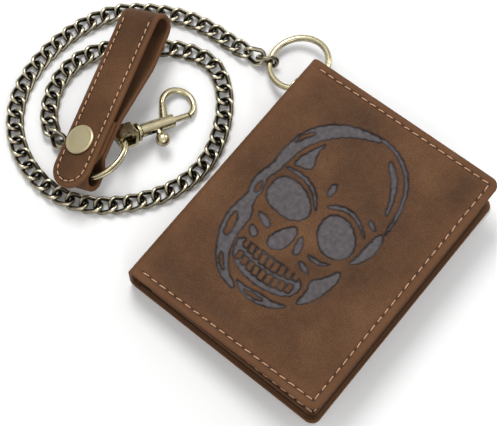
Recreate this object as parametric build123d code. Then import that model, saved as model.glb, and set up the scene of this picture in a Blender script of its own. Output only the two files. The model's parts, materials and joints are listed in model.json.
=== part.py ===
"""Leather biker wallet with a curb chain, a snap belt strap and a swivel hook.

Frame: millimetres, +Z up. The wallet lies on its back cover, whose outer face is centred on the origin.
X runs from the spine to the free edge, Y runs up the spine. The chain lies in a double loop beside the spine.
"""

import os
from math import atan2, cos, degrees, pi, radians, sin, sqrt

from build123d import *

# wallet cover
WALLET_WIDTH = 95.0
WALLET_HEIGHT = 120.0
COVER_THICKNESS = 1.8
CORNER_RADIUS = 4.0
SPINE_HEIGHT = 15.0
FOLD_X = -WALLET_WIDTH / 2 + 0.9
FOLD_Z = 15.6
FRONT_LIFT = 5.5  # degrees that the front half springs open at rest
FRONT_FOLD_GAP = 1.3
BACK_FOLD_GAP = 0.3

# inner panels and pockets
LINING_THICKNESS = 0.8
PANEL_THICKNESS = 0.8
PANEL_MARGIN = 2.2
POCKET_START = 10.0  # distance from the spine to the pockets' inner edge
POCKET_STEP = 15.0
POCKET_COUNT = 3
LAYER_GAP = 0.05
WINDOW_BORDER = 10.0

# stitching
THREAD_WIDTH = 0.7
THREAD_PROUD = 0.25
THREAD_INSET = 3.0

# eyelet and wallet ring
RING_RADIUS = 12.65
RING_WIRE = 2.8
RING_X = -53.0
RING_Y = 57.0
RING_Z = 7.3
RING_TILT = 15.0
EYELET_BORE = 7.6
EYELET_FLANGE = 10.0
EYELET_SHIFT = 0.4
EYELET_FLANGE_THICKNESS = 0.5

# chain
LINK_WIRE = 1.9
LINK_LENGTH = 8.3
LINK_HALF_WIDTH = 2.9
LINK_TWIST = 38.0  # each end of a link is turned this far out of the flat
LINK_CORNER = 2.4
LINK_PITCH = 6.05
CHAIN_Z = 2.15
END_LINKS = ((-100.0, 4.2), (-50.0, 4.0), (0.0, 3.0))  # roll and height: the end links turn on edge to take a ring

CHAIN_ROUTE = [
    (-65.0, 50.9),
    (-75.0, 48.5),
    (-90.0, 47.6),
    (-104.0, 45.0),
    (-117.0, 38.5),
    (-129.0, 28.5),
    (-137.0, 13.0),
    (-140.0, -5.0),
    (-137.0, -25.0),
    (-127.0, -40.0),
    (-111.0, -48.8),
    (-94.0, -50.0),
    (-79.0, -43.5),
    (-66.5, -31.0),
    (-58.5, -16.5),
    (-56.3, -1.0),
    (-60.5, 14.0),
    (-69.0, 27.0),
    (-82.0, 35.0),
    (-96.0, 32.5),
    (-112.0, 21.5),
    (-124.0, 9.0),
    (-128.3, -6.0),
    (-124.4, -20.3),
    (-118.0, -28.4),
    (-111.6, -31.8),
    (-105.0, -31.6),
]
CHAIN_CUTS = (12, 24, 36, 48, 59)  # links before each change of chain section

# belt strap, in its own frame: x across, y along, z out of the front
STRAP_ORIGIN = (-92.0, -41.7, 15.6)
STRAP_HEADING = 17.0
STRAP_PITCH = 5.0
STRAP_LEAN = 26.0
STRAP_WIDTH = 18.6
STRAP_THICKNESS = 2.2
STRAP_TIP_Y = -7.5
STRAP_TOP_Y = 70.0
STRAP_TAB_Y = 25.0
TAB_Z = -1.45
BACK_LAYER_Z = -3.85
FOLD_BOTTOM_Z = -10.2
TOP_LOOP_Z = -9.4
SNAP_X = -1.2
SNAP_Y = 13.2
SNAP_CAP_DIAMETER = 13.0
SNAP_CAP_HEIGHT = 1.3
CAP_POST_DIAMETER = 3.0
STUD_DIAMETER = 3.0
STUD_FOOT_DIAMETER = 5.0
STUD_FOOT_THICKNESS = 0.7
FOLD_CENTRE_Y = 1.0
FOLD_DEPTH = 5.4
BACK_LAYER_START_Y = 10.0
TONGUE_WIDTH = 14.0
TONGUE_END_Y = 5.0
TONGUE_START_Y = 10.5
STRAP_FOLD_GAP = 0.5
STRAP_THREAD_INSET = 2.6

# split ring
SPLIT_RING_RADIUS = 13.1
SPLIT_WIRE = 1.8
SPLIT_TURN_SPACING = 1.5
SPLIT_RING_DIP = 12.0
SPLIT_RING_OFFSET = 0.3
SPLIT_RING_REST_Y = 0.2
SPLIT_RING_REST_Z = -5.4

# swivel hook, in its own frame: x along the barrel, y towards the loop, z up
HOOK_SCALE = 1.12
HOOK_HEADING = 66.0
HOOK_RING_ANGLE = 50.0
HOOK_TIP_CLEARANCE = 1.5
EYE_WIDTH = 6.0
EYE_BACK = -3.7
EYE_FRONT = 4.6
EYE_HALF_HEIGHT = 3.5
EYE_WALL = 1.1
PIN_DIAMETER = 2.2
PIN_HEAD_DIAMETER = 3.6
PIN_HEAD_LENGTH = 0.8
FLANGE_START = 5.0
FLANGE_LENGTH = 1.3
FLANGE_DIAMETER = 7.0
NECK_DIAMETER = 3.4
BARREL_START = 6.9
BARREL_END = 20.6
BARREL_DIAMETER = 5.0
BORE_DIAMETER = 3.2
BORE_START = 7.8
BOLT_DIAMETER = 2.4
BOLT_HEAD_DIAMETER = 3.0
BOLT_TIP = 26.9
BOLT_HEAD_START = 12.0
BOLT_HEAD_END = 16.0
BOLT_TRAVEL = 3.5
STEM_X = 13.4
STEM_DIAMETER = 2.4
STEM_SLOT_WIDTH = 2.8
STEM_DEPTH = 0.3
KNOB_DIAMETER = 5.5
KNOB_Y = -5.9
LOOP_X = 25.6
LOOP_Y = 5.6
LOOP_RADIUS = 6.05
LOOP_WIRE = 2.5
LOOP_START_ANGLE = 157.0
LOOP_END_ANGLE = -72.0
LOOP_BASE_X = 17.4
LOOP_BASE_Y = 1.2
LOOP_BASE_DIAMETER = 3.8
SPRING_WIRE = 0.3
SPRING_DIAMETER = 2.4
SPRING_TURNS = 4


# ---------------------------------------------------------------- frames


def strap_plane():
    """Frame of the belt strap: x across it, y along it, z out of its front face."""
    heading = radians(STRAP_HEADING)
    pitch = radians(STRAP_PITCH)
    lean = radians(STRAP_LEAN)
    along = Vector(-sin(heading) * cos(pitch), cos(heading) * cos(pitch), sin(pitch))
    flat_across = Vector(cos(heading), sin(heading), 0)
    flat_normal = flat_across.cross(along)
    across = flat_across * cos(lean) + flat_normal * sin(lean)
    return Plane(origin=STRAP_ORIGIN, x_dir=across, z_dir=across.cross(along))


def split_ring_plane():
    """Frame of the split ring: its centre, with z along its axis and y away from the strap's bottom fold."""
    strap = strap_plane()
    dip = radians(SPLIT_RING_DIP)
    along = strap.y_dir * cos(dip) - strap.z_dir * sin(dip)
    bottom = strap.from_local_coords(Vector(SPLIT_RING_OFFSET, SPLIT_RING_REST_Y, SPLIT_RING_REST_Z))
    centre = bottom + along * SPLIT_RING_RADIUS
    return Plane(origin=centre, x_dir=strap.x_dir, z_dir=strap.x_dir.cross(along))


def eye_centre():
    """Point of the split ring that the hook's eye hangs on."""
    ring = split_ring_plane()
    angle = radians(HOOK_RING_ANGLE)
    return ring.from_local_coords(Vector(SPLIT_RING_RADIUS * cos(angle), SPLIT_RING_RADIUS * sin(angle), 0))


def hook_plane():
    """Frame of the swivel hook: x along the barrel, sloping down to the table, y level."""
    start = eye_centre()
    reach = (LOOP_X + LOOP_RADIUS) * HOOK_SCALE
    drop = (start.Z - HOOK_TIP_CLEARANCE) / reach
    level = sqrt(1 - drop**2)
    heading = radians(HOOK_HEADING)
    axis = Vector(level * cos(heading), level * sin(heading), -drop)
    side = Vector(-sin(heading), cos(heading), 0)
    return Plane(origin=start, x_dir=axis, z_dir=axis.cross(side))


def front_plane():
    """Frame of the front half, hinged on the top of the spine and sprung open by its rest lift."""
    lift = radians(FRONT_LIFT)
    return Plane(origin=(FOLD_X, 0, FOLD_Z), x_dir=(cos(lift), 0, sin(lift)), z_dir=(-sin(lift), 0, cos(lift)))


# ---------------------------------------------------------------- wallet


def sheet(x0, x1, y0, y1, z0, thickness, radius=0.0):
    """A flat sheet with its free-edge corners rounded."""
    width = x1 - x0
    height = y1 - y0
    body = Pos((x0 + x1) / 2, (y0 + y1) / 2, z0 + thickness / 2) * Box(width, height, thickness)
    if radius:
        body = fillet(body.edges().filter_by(Axis.Z).group_by(Axis.X)[-1], radius)
    return body


def cover_back():
    left = -WALLET_WIDTH / 2 + COVER_THICKNESS + BACK_FOLD_GAP
    half = WALLET_HEIGHT / 2
    return sheet(left, WALLET_WIDTH / 2, -half, half, 0, COVER_THICKNESS, CORNER_RADIUS)


def eyelet_y():
    """Height on the spine where the tilted wallet ring passes through the wall."""
    reach = (FOLD_X + EYELET_SHIFT - RING_X) / cos(radians(RING_TILT))
    return RING_Y - sqrt(RING_RADIUS**2 - reach**2)


def eyelet_z():
    return RING_Z + (FOLD_X - RING_X) * sin(radians(RING_TILT)) / cos(radians(RING_TILT))


def eyelet_hole(length, diameter):
    return Pos(FOLD_X, eyelet_y(), eyelet_z()) * Rot(0, 90, 0) * Cylinder(diameter / 2, length)


def cover_spine():
    left = -WALLET_WIDTH / 2
    half = WALLET_HEIGHT / 2
    wall = Pos(left + COVER_THICKNESS / 2, 0, SPINE_HEIGHT / 2) * Box(COVER_THICKNESS, 2 * half, SPINE_HEIGHT)
    wall = fillet(wall.edges().filter_by(Axis.Y).group_by(Axis.X)[0].group_by(Axis.Z)[0], 1.2)
    return wall - eyelet_hole(3 * COVER_THICKNESS, EYELET_BORE)


def eyelet():
    """Rolled metal eyelet: a flange outside the spine and a tube through it."""
    left = -WALLET_WIDTH / 2
    place = Pos(left, eyelet_y(), eyelet_z()) * Rot(0, -90, 0)
    flange = Cylinder(EYELET_FLANGE / 2, EYELET_FLANGE_THICKNESS, align=(Align.CENTER, Align.CENTER, Align.MIN))
    flange = fillet(flange.edges().group_by(Axis.Z)[-1], EYELET_FLANGE_THICKNESS * 0.8)
    tube_length = COVER_THICKNESS + EYELET_FLANGE_THICKNESS
    tube = Pos(0, 0, -tube_length) * Cylinder(
        EYELET_BORE / 2, tube_length + EYELET_FLANGE_THICKNESS, align=(Align.CENTER, Align.CENTER, Align.MIN)
    )
    bore = Cylinder(EYELET_BORE / 2 - 0.35, 4 * tube_length)
    return place * (flange + tube - bore)


def eyelet_washer():
    """Washer that the eyelet's tube is rolled over, on the inner face of the spine."""
    place = Pos(-WALLET_WIDTH / 2 + COVER_THICKNESS, eyelet_y(), eyelet_z()) * Rot(0, 90, 0)
    disc = Cylinder(EYELET_FLANGE / 2, EYELET_FLANGE_THICKNESS, align=(Align.CENTER, Align.CENTER, Align.MIN))
    return place * (disc - Cylinder(EYELET_BORE / 2, 4 * EYELET_FLANGE_THICKNESS))


def lining_sheet(z0):
    half = WALLET_HEIGHT / 2 - PANEL_MARGIN / 2
    left = -WALLET_WIDTH / 2 + COVER_THICKNESS + 3.0
    right = WALLET_WIDTH / 2 - PANEL_MARGIN / 2
    return sheet(left, right, -half, half, z0, LINING_THICKNESS, CORNER_RADIUS)


def inner_panel(z0, top_y):
    """A panel that starts clear of the fold and is open along its top edge."""
    left = -WALLET_WIDTH / 2 + POCKET_START
    right = WALLET_WIDTH / 2 - PANEL_MARGIN
    return sheet(left, right, -WALLET_HEIGHT / 2 + PANEL_MARGIN, top_y, z0, PANEL_THICKNESS, 2.0)


def back_layer_z(index):
    """Underside of the back half's inner layers, counted up from the lining."""
    return COVER_THICKNESS + LINING_THICKNESS + LAYER_GAP + index * (PANEL_THICKNESS + LAYER_GAP)


def pocket_top(index):
    return WALLET_HEIGHT / 2 - PANEL_MARGIN - 12.0 - index * POCKET_STEP


def to_front(shape):
    """Moves a piece drawn lying flat, x from the fold and z from the cover's inner face, onto the front half."""
    return front_plane().location * shape


def front_sheet(x0, depth, thickness, y0, y1, radius=0.0):
    """A sheet of the front half, its outer face lying the given depth below the cover's outer face."""
    outer = COVER_THICKNESS / 2
    right = WALLET_WIDTH - 0.9
    body = sheet(x0, right, y0, y1, outer - depth - thickness, thickness, radius)
    return to_front(body)


def cover_front():
    half = WALLET_HEIGHT / 2
    return front_sheet(FRONT_FOLD_GAP, 0, COVER_THICKNESS, -half, half, CORNER_RADIUS)


def front_layer(x0, layer, y0, y1, margin, radius):
    """A lining, panel or pocket of the front half, counted inward from the cover, drawn lying flat."""
    depth = COVER_THICKNESS + LAYER_GAP + layer * (PANEL_THICKNESS + LAYER_GAP)
    right = WALLET_WIDTH - 0.9 - margin
    return sheet(x0, right, y0, y1, COVER_THICKNESS / 2 - depth - PANEL_THICKNESS, PANEL_THICKNESS, radius)


def lining_front():
    half = WALLET_HEIGHT / 2 - PANEL_MARGIN / 2
    return to_front(front_layer(3.5, 0, -half, half, PANEL_MARGIN / 2, CORNER_RADIUS))


def note_panel_front():
    half = WALLET_HEIGHT / 2 - PANEL_MARGIN
    return to_front(front_layer(POCKET_START, 1, -half, half - 4.0, PANEL_MARGIN, 2.0))


def window_sheet(border):
    """The part of the window layer that lies inside a border of the given width."""
    bottom = -WALLET_HEIGHT / 2 + PANEL_MARGIN
    top = pocket_top(0) - border
    return front_layer(POCKET_START + border, 2, bottom + border, top, PANEL_MARGIN + border, 2.0)


def id_window_frame():
    """Leather frame around the clear window, on the front half's inner face."""
    return to_front(window_sheet(0.0) - window_sheet(WINDOW_BORDER))


def id_window():
    """Clear plastic sheet that fills the frame's opening."""
    return to_front(window_sheet(WINDOW_BORDER + 0.1))


def thread_run(x0, x1, y0, y1, z):
    """A straight run of thread standing proud of the face at height z."""
    return sheet(x0, x1, y0, y1, z, THREAD_PROUD)


def thread_back():
    """Stitching seen on the back half's top pocket, along its lower and free edges."""
    z = back_layer_z(POCKET_COUNT) + PANEL_THICKNESS
    left = -WALLET_WIDTH / 2 + POCKET_START + 1.0
    right = WALLET_WIDTH / 2 - THREAD_INSET
    bottom = -WALLET_HEIGHT / 2 + THREAD_INSET
    lower = thread_run(left, right, bottom, bottom + THREAD_WIDTH, z)
    side = thread_run(right - THREAD_WIDTH, right, bottom + 1.2, pocket_top(POCKET_COUNT - 1) - 1.0, z)
    return Compound(children=[lower, side])


def thread_front():
    """Stitching seen on the front cover, along its top, free and lower edges."""
    z = COVER_THICKNESS / 2
    right = WALLET_WIDTH - 0.9 - THREAD_INSET
    top = WALLET_HEIGHT / 2 - THREAD_INSET
    upper = thread_run(4.0, right, top - THREAD_WIDTH, top, z)
    lower = thread_run(4.0, right, -top, -top + THREAD_WIDTH, z)
    side = thread_run(right - THREAD_WIDTH, right, -top + 1.2, top - 1.2, z)
    return Compound(children=[to_front(run) for run in (upper, lower, side)])


# ---------------------------------------------------------------- rings and chain


def wallet_ring():
    tilt = Rot(0, -RING_TILT, 0)
    return Pos(RING_X, RING_Y, RING_Z) * tilt * Torus(RING_RADIUS, RING_WIRE / 2)


def corner_points(previous, corner, following, radius):
    """Start, middle and end of the arc that rounds a corner of a polyline."""
    before = (previous - corner).normalized()
    after = (following - corner).normalized()
    half = radians(before.get_angle(after)) / 2
    bisector = (before + after).normalized()
    reach = radius / (sin(half) / cos(half))
    middle = corner + bisector * (radius / sin(half) - radius)
    return corner + before * reach, middle, corner + after * reach


def rounded_path(corners, radii, closed=False):
    """Edges along the corners, each corner rounded to its radius. An open path keeps its two ends."""
    count = len(corners)
    turns = range(count) if closed else range(1, count - 1)
    arcs = [corner_points(corners[i - 1], corners[i], corners[(i + 1) % count], radii[i]) for i in turns]
    if closed:
        stops = [arc[0] for arc in arcs[1:]] + [arcs[0][0]]
        edges = []
    else:
        stops = [arc[0] for arc in arcs[1:]] + [corners[-1]]
        edges = [Line(corners[0], arcs[0][0])]
    for (start, middle, end), stop in zip(arcs, stops):
        edges.append(ThreePointArc(start, middle, end))
        if (stop - end).length > 0.01:
            edges.append(Line(end, stop))
    return edges


def curb_link():
    """One curb link: a closed loop of round wire whose two ends are turned out of the flat."""
    half_length = LINK_LENGTH / 2
    rise = LINK_HALF_WIDTH * sin(radians(LINK_TWIST)) / cos(radians(LINK_TWIST))
    corners = [
        Vector(half_length, LINK_HALF_WIDTH, -rise),
        Vector(-half_length, LINK_HALF_WIDTH, rise),
        Vector(-half_length, -LINK_HALF_WIDTH, -rise),
        Vector(half_length, -LINK_HALF_WIDTH, rise),
    ]
    return fuse_all([wire_piece(edge) for edge in rounded_path(corners, [LINK_CORNER] * 4, closed=True)])


def wire_piece(edge):
    return sweep(Plane(origin=edge @ 0, z_dir=edge % 0) * Circle(LINK_WIRE / 2), path=edge)


def fuse_all(pieces):
    body = pieces[0]
    for piece in pieces[1:]:
        body = body + piece
    return body


def link_places():
    """Frame of every link: equally spaced along the route, turned on edge where the chain takes a ring."""
    route = Spline(*[(x, y, 0) for x, y in CHAIN_ROUTE])
    count = round(route.length / LINK_PITCH) + 1
    places = []
    for i in range(count):
        share = i / (count - 1)
        point = route @ share
        heading = route % share
        end = min(i, count - 1 - i)
        roll, lift = END_LINKS[end] if end < len(END_LINKS) else (0.0, CHAIN_Z)
        if i > count / 2:
            roll = -roll
        frame = Plane(origin=(point.X, point.Y, lift), x_dir=heading, z_dir=(0, 0, 1))
        places.append(frame.location * Rot(roll, 0, 0))
    return places


def chain_sections():
    """The chain's links, shared out between its sections."""
    link = curb_link()
    links = [place * link for place in link_places()]
    starts = (0,) + CHAIN_CUTS
    ends = CHAIN_CUTS + (len(links),)
    return [Compound(children=links[start:end]) for start, end in zip(starts, ends)]


def split_ring():
    """Key ring of flat-coiled wire: two turns lying against each other."""
    turns = [
        Pos(0, 0, side * SPLIT_TURN_SPACING / 2) * Torus(SPLIT_RING_RADIUS, SPLIT_WIRE / 2) for side in (-1, 1)
    ]
    return split_ring_plane().location * (turns[0] + turns[1])


# ---------------------------------------------------------------- belt strap


def strap_strip(corners, radii, width):
    """A strip of strap leather, its centre line given as a side view (y, z)."""
    points = [Vector(y, z) for y, z in corners]
    profile = trace(rounded_path(points, radii), STRAP_THICKNESS)
    side = Plane(origin=(-width / 2, 0, 0), x_dir=(0, 1, 0), z_dir=(1, 0, 0))
    return extrude(side * profile, amount=width)


def on_strap(shape):
    return strap_plane().location * shape


def stud_hole(diameter):
    return Pos(SNAP_X, SNAP_Y, 0) * Cylinder(diameter / 2, 30)


def strap_back():
    """Back layer: over the top loop, down the back, round the split ring and up again as a tab."""
    front_z = STRAP_THICKNESS / 2
    loop_radius = (front_z - TOP_LOOP_Z) / 2 - 0.05
    top = STRAP_TOP_Y + loop_radius
    fold_radius = (TAB_Z - FOLD_BOTTOM_Z) / 2 - 0.05
    fold_end = FOLD_CENTRE_Y - fold_radius
    corners = [
        (STRAP_TOP_Y - 1.0, front_z),
        (top, front_z),
        (top, TOP_LOOP_Z),
        (STRAP_TOP_Y - 16.0, TOP_LOOP_Z),
        (STRAP_TAB_Y + 2.0, BACK_LAYER_Z),
        (BACK_LAYER_START_Y, BACK_LAYER_Z),
        (FOLD_DEPTH, FOLD_BOTTOM_Z),
        (fold_end, FOLD_BOTTOM_Z),
        (fold_end, TAB_Z),
        (STRAP_TAB_Y, TAB_Z),
    ]
    radii = [0, loop_radius, loop_radius, 20, 20, 1.8, 1.8, fold_radius, fold_radius, 0]
    strip = strap_strip(corners, radii, STRAP_WIDTH) & extrude(strap_outline(), amount=40, both=True)
    return on_strap(strip - stud_hole(STUD_DIAMETER))


def strap_outline():
    """The strip seen from the front: full width, narrowing to the tongue that folds round the split ring."""
    half = STRAP_WIDTH / 2
    tongue = TONGUE_WIDTH / 2
    right = [(tongue, -10), (tongue, TONGUE_END_Y), (half, TONGUE_START_Y), (half, STRAP_TOP_Y + 20)]
    left = [(-x, y) for x, y in reversed(right)]
    return make_face(Polyline(*right, *left, close=True))


def strap_front():
    """Front layer with a round lower end, hinged where the leather bends over the top loop."""
    half = STRAP_WIDTH / 2
    top = STRAP_TOP_Y - 1.0 - STRAP_FOLD_GAP
    length = top - STRAP_TIP_Y - half
    flat = Pos(0, top - length / 2) * Rectangle(STRAP_WIDTH, length)
    outline = flat + Pos(0, STRAP_TIP_Y + half) * Circle(half)
    return on_strap(extrude(outline, amount=STRAP_THICKNESS) - stud_hole(CAP_POST_DIAMETER))


def strap_thread(x_side):
    """One long stitch line of the front layer."""
    bottom = STRAP_TIP_Y + STRAP_WIDTH / 2
    length = STRAP_TOP_Y - 3.0 - bottom
    x = x_side * (STRAP_WIDTH / 2 - STRAP_THREAD_INSET)
    return Pos(x, bottom + length / 2, STRAP_THICKNESS + THREAD_PROUD / 2) * Box(
        THREAD_WIDTH, length, THREAD_PROUD
    )


def strap_thread_front():
    """Stitching round the front layer: two long lines joined round the lower end."""
    radius = STRAP_WIDTH / 2 - STRAP_THREAD_INSET
    centre_y = STRAP_TIP_Y + STRAP_WIDTH / 2
    ring = Circle(radius + THREAD_WIDTH / 2) - Circle(radius - THREAD_WIDTH / 2)
    lower = ring - Pos(0, STRAP_WIDTH) * Rectangle(2 * STRAP_WIDTH, 2 * STRAP_WIDTH)
    bend = Pos(0, centre_y, STRAP_THICKNESS) * extrude(lower, amount=THREAD_PROUD)
    return on_strap(bend + strap_thread(-1) + strap_thread(1))


def snap_cap():
    """Domed cap of the snap, its post riveted through the front layer."""
    cap = Pos(SNAP_X, SNAP_Y, STRAP_THICKNESS + 0.3) * Cylinder(
        SNAP_CAP_DIAMETER / 2, SNAP_CAP_HEIGHT, align=(Align.CENTER, Align.CENTER, Align.MIN)
    )
    cap = fillet(cap.edges().group_by(Axis.Z)[-1], 0.9)
    post = Pos(SNAP_X, SNAP_Y, 0.2) * Cylinder(
        CAP_POST_DIAMETER / 2 - 0.02, STRAP_THICKNESS + 0.2, align=(Align.CENTER, Align.CENTER, Align.MIN)
    )
    return on_strap(cap + post)


def snap_stud():
    """Stud of the snap: a rivet through tab and back layer with a round head that the cap clicks on."""
    shank = Pos(SNAP_X, SNAP_Y, BACK_LAYER_Z - STRAP_THICKNESS / 2) * Cylinder(
        STUD_DIAMETER / 2 - 0.02,
        TAB_Z - BACK_LAYER_Z + STRAP_THICKNESS,
        align=(Align.CENTER, Align.CENTER, Align.MIN),
    )
    foot = Pos(SNAP_X, SNAP_Y, BACK_LAYER_Z - STRAP_THICKNESS / 2 - STUD_FOOT_THICKNESS) * Cylinder(
        STUD_FOOT_DIAMETER / 2, STUD_FOOT_THICKNESS, align=(Align.CENTER, Align.CENTER, Align.MIN)
    )
    return on_strap(shank + foot)


# ---------------------------------------------------------------- swivel hook


def on_hook(shape):
    """The hook is drawn at the size of its constants, then enlarged and put in place."""
    return hook_plane().location * scale(shape, HOOK_SCALE)


def eye_roll():
    """Turn of the eye about the barrel that lines its band up with the split ring's wire."""
    ring = split_ring_plane()
    hook = hook_plane()
    angle = radians(HOOK_RING_ANGLE)
    wire = ring.y_dir * cos(angle) - ring.x_dir * sin(angle)
    return degrees(atan2(wire.dot(hook.z_dir), wire.dot(hook.y_dir)))


def rod(start, end, diameter):
    """A round bar along the hook's axis."""
    return Pos((start + end) / 2, 0, 0) * Rot(0, 90, 0) * Cylinder(diameter / 2, end - start)


def swivel_eye():
    """Band bent round the split ring, with a hole in its front for the swivel pin."""
    length = EYE_FRONT - EYE_BACK
    outer = Rectangle(length, 2 * EYE_HALF_HEIGHT)
    outer = fillet(outer.vertices().group_by(Axis.X)[0], EYE_HALF_HEIGHT - 0.05)
    outer = fillet(outer.vertices().group_by(Axis.X)[-1], 1.2)
    inner = offset(outer, -EYE_WALL)
    band = extrude(outer - inner, amount=EYE_WIDTH / 2, both=True)
    band = Pos((EYE_FRONT + EYE_BACK) / 2, 0, 0) * Rot(90, 0, 0) * band
    return on_hook(Rot(eye_roll(), 0, 0) * (band - rod(0, 2 * EYE_FRONT, PIN_DIAMETER + 0.2)))


def swivel_pin():
    """Rivet that holds the hook to its eye, its head inside the band and its shank pressed into the barrel."""
    head_end = EYE_FRONT - EYE_WALL - 0.15
    head = rod(head_end - PIN_HEAD_LENGTH, head_end, PIN_HEAD_DIAMETER)
    shank = rod(head_end - PIN_HEAD_LENGTH / 2, BARREL_START, PIN_DIAMETER)
    return on_hook(head + shank)


def hook_loop():
    """Curved finger of the hook: a tapered base, then round wire bent round to meet the bolt."""
    start = radians(LOOP_START_ANGLE)
    ring = Pos(LOOP_X, LOOP_Y, 0) * Torus(LOOP_RADIUS, LOOP_WIRE / 2)
    sweep_angle = LOOP_START_ANGLE - LOOP_END_ANGLE
    arc = CenterArc((LOOP_X, LOOP_Y), LOOP_RADIUS, LOOP_END_ANGLE, sweep_angle)
    finger = sweep(Plane(origin=arc @ 0, z_dir=arc % 0) * Circle(LOOP_WIRE / 2), path=arc)
    joint = Vector(LOOP_X + LOOP_RADIUS * cos(start), LOOP_Y + LOOP_RADIUS * sin(start), 0)
    base = Vector(LOOP_BASE_X, LOOP_BASE_Y, 0)
    length = (joint - base).length
    cone = Cone(
        LOOP_BASE_DIAMETER / 2, LOOP_WIRE / 2, length, align=(Align.CENTER, Align.CENTER, Align.MIN)
    )
    return finger + Plane(origin=base, z_dir=joint - base).location * cone


def hook_body():
    """Barrel with its bore, stem slot and rear flange, and the loop cast in one with it."""
    barrel = rod(BARREL_START, BARREL_END, BARREL_DIAMETER)
    flange = rod(FLANGE_START, FLANGE_START + FLANGE_LENGTH, FLANGE_DIAMETER)
    flange = fillet(flange.edges(), 0.4)
    neck = rod(FLANGE_START + 0.2, BARREL_START + 0.2, NECK_DIAMETER)
    body = barrel + flange + neck + hook_loop()
    body = body - rod(BORE_START, BARREL_END - 1.5, BORE_DIAMETER)
    body = body - rod(BORE_START, BARREL_END + 1, BOLT_DIAMETER + 0.2)
    body = body - rod(0, BARREL_START, PIN_DIAMETER)
    slot_start = STEM_X - BOLT_TRAVEL - STEM_DIAMETER / 2 - 0.2
    slot_end = STEM_X + STEM_DIAMETER / 2 + 0.2
    slot = Pos((slot_start + slot_end) / 2, -BARREL_DIAMETER / 2, 0) * Box(
        slot_end - slot_start, BARREL_DIAMETER, STEM_SLOT_WIDTH
    )
    return on_hook(body - slot)


def hook_bolt():
    """Sliding bolt: a thin front rod that closes the loop and a wider head inside the barrel."""
    front = rod(BOLT_HEAD_END - 0.5, BOLT_TIP, BOLT_DIAMETER)
    head = rod(BOLT_HEAD_START, BOLT_HEAD_END, BOLT_HEAD_DIAMETER)
    return on_hook(front + head - stem(STEM_DEPTH, -KNOB_Y))


def stem(start, end):
    """The thumb stem, square to the bolt, between two distances from its axis."""
    return Pos(STEM_X, -(start + end) / 2, 0) * Rot(90, 0, 0) * Cylinder(STEM_DIAMETER / 2, end - start)


def thumb_knob():
    """Stem and ball that pull the bolt back, screwed into the bolt's head."""
    return on_hook(stem(STEM_DEPTH, -KNOB_Y) + Pos(STEM_X, KNOB_Y, 0) * Sphere(KNOB_DIAMETER / 2))


def bolt_spring():
    """Coil behind the bolt, its turns drawn as plain rings."""
    start = BORE_START + SPRING_WIRE
    end = BOLT_HEAD_START - SPRING_WIRE
    step = (end - start) / (SPRING_TURNS - 1)
    turn = Rot(0, 90, 0) * Torus(SPRING_DIAMETER / 2 - SPRING_WIRE / 2, SPRING_WIRE / 2)
    return on_hook(Compound(children=[Pos(start + i * step, 0, 0) * turn for i in range(SPRING_TURNS)]))


# ---------------------------------------------------------------- all pieces


def all_pieces():
    """Every piece of the wallet set, by name."""
    pieces = {
        "cover_back": cover_back(),
        "cover_spine": cover_spine(),
        "cover_front": cover_front(),
        "lining_back": lining_sheet(COVER_THICKNESS + LAYER_GAP),
        "note_panel_back": inner_panel(back_layer_z(0), WALLET_HEIGHT / 2 - PANEL_MARGIN - 4.0),
        "eyelet": eyelet(),
        "eyelet_washer": eyelet_washer(),
        "thread_back": thread_back(),
        "thread_front": thread_front(),
        "lining_front": lining_front(),
        "note_panel_front": note_panel_front(),
        "id_window_frame": id_window_frame(),
        "id_window": id_window(),
        "wallet_ring": wallet_ring(),
        "split_ring": split_ring(),
        "strap_back": strap_back(),
        "strap_front": strap_front(),
        "strap_thread": strap_thread_front(),
        "snap_cap": snap_cap(),
        "snap_stud": snap_stud(),
        "swivel_eye": swivel_eye(),
        "swivel_pin": swivel_pin(),
        "hook_body": hook_body(),
        "hook_bolt": hook_bolt(),
        "thumb_knob": thumb_knob(),
        "bolt_spring": bolt_spring(),
    }
    for i in range(POCKET_COUNT):
        pieces[f"card_pocket_back_{i + 1}"] = inner_panel(back_layer_z(i + 1), pocket_top(i))
    for i, section in enumerate(chain_sections()):
        pieces[f"chain_{i + 1}"] = section
    return pieces


def main():
    os.makedirs("parts", exist_ok=True)
    for name, shape in all_pieces().items():
        export_step(shape, f"parts/{name}.step")


if __name__ == "__main__":
    main()
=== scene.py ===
"""Looks of the chain wallet: waxed leather, waxed thread and antique brass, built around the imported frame.

Sizes are in millimetres and are turned into metres where a mesh is made. Lights and camera are in metres.
"""

import json
from itertools import product
from math import cos, pi, radians, sin, tan

import bmesh
import bpy
import numpy as np
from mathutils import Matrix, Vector


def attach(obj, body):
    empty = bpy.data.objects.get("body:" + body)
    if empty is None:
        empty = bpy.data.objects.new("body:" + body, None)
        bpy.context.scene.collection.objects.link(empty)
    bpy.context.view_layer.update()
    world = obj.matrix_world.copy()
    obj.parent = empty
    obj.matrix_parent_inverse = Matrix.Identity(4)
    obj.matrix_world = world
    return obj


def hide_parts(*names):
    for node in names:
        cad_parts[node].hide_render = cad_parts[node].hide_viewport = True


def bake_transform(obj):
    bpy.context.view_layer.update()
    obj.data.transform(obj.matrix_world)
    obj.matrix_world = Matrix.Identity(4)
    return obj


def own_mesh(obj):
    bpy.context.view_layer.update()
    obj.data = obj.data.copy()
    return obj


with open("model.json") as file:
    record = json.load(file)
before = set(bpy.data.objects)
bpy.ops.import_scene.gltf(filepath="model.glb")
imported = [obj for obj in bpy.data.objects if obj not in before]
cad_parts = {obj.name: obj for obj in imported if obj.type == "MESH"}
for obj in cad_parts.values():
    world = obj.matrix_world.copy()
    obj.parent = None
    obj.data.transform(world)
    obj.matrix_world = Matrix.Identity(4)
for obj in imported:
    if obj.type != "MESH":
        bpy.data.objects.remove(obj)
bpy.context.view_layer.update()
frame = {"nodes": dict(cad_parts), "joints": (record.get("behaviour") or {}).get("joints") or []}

MM = 0.001

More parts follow.
